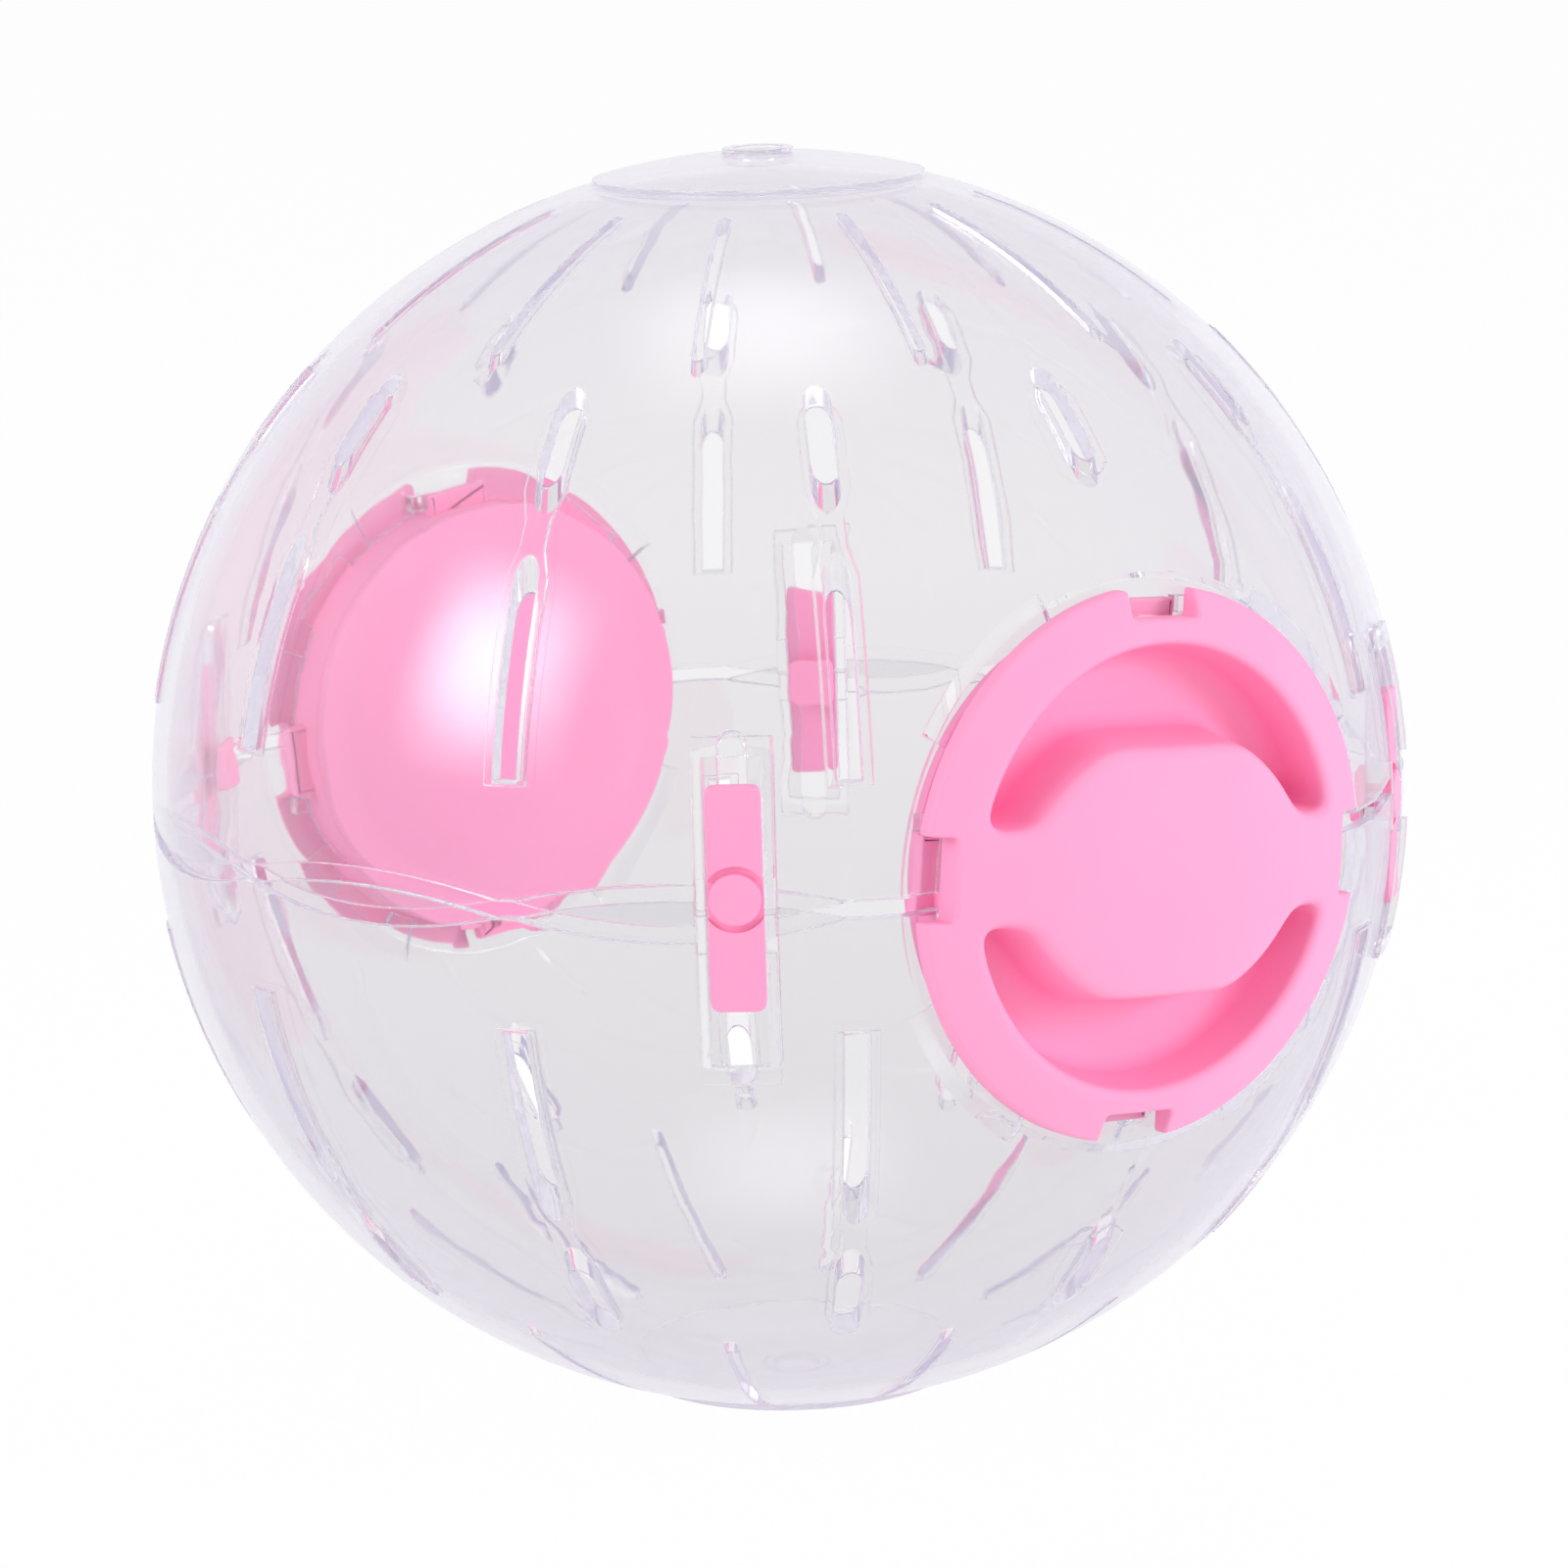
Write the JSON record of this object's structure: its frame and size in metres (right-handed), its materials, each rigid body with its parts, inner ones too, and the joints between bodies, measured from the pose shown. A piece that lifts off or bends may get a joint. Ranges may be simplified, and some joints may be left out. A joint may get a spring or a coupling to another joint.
{
  "type": "hamster exercise ball",
  "caption": "Clear two-part exercise ball for a small rodent, with air slots, bayonet doors with recessed grips and sliding latches on the seam.",
  "frame": {"origin": "centre of the ball", "axes": "+Z through the upper pole, +X out of the front door"},
  "size_m": [0.142, 0.14, 0.1422],
  "materials": {
    "clear_plastic": "clear moulded plastic, faint lilac at the edges",
    "pink_plastic": "satin moulded plastic"
  },
  "bodies": {
    "ball": {"upper_shell": "clear_plastic", "lower_shell": "clear_plastic"},
    "front_door": {"front_door_face": "pink_plastic", "front_door_back": "pink_plastic"},
    "back_door": {"back_door_face": "pink_plastic", "back_door_back": "pink_plastic"},
    "front_left_latch": {"front_left_slider": "pink_plastic", "front_left_pin": "pink_plastic", "front_left_retainer": "pink_plastic"},
    "front_right_latch": {"front_right_slider": "pink_plastic", "front_right_pin": "pink_plastic", "front_right_retainer": "pink_plastic"},
    "back_right_latch": {"back_right_slider": "pink_plastic", "back_right_pin": "pink_plastic", "back_right_retainer": "pink_plastic"},
    "back_left_latch": {"back_left_slider": "pink_plastic", "back_left_pin": "pink_plastic", "back_left_retainer": "pink_plastic"}
  },
  "joints": [
    {"name": "front_door_turn", "type": "hinge", "parent": "ball", "child": "front_door", "pos_m": [0.0629, 0, 0], "axis": [1, 0, 0], "range_deg": [0, 45]},
    {"name": "back_door_turn", "type": "hinge", "parent": "ball", "child": "back_door", "pos_m": [-0.0629, 0, 0], "axis": [-1, 0, 0], "range_deg": [0, 45]},
    {"name": "front_left_latch_slide", "type": "slide", "parent": "ball", "child": "front_left_latch", "axis": [0, 0, 1], "range_m": [-0.0057, 0.0027]},
    {"name": "front_right_latch_slide", "type": "slide", "parent": "ball", "child": "front_right_latch", "axis": [0, 0, 1], "range_m": [-0.0037, 0.0047]},
    {"name": "back_right_latch_slide", "type": "slide", "parent": "ball", "child": "back_right_latch", "axis": [0, 0, 1], "range_m": [-0.0032, 0.0052]},
    {"name": "back_left_latch_slide", "type": "slide", "parent": "ball", "child": "back_left_latch", "axis": [0, 0, 1], "range_m": [-0.005, 0.0034]}
  ]
}
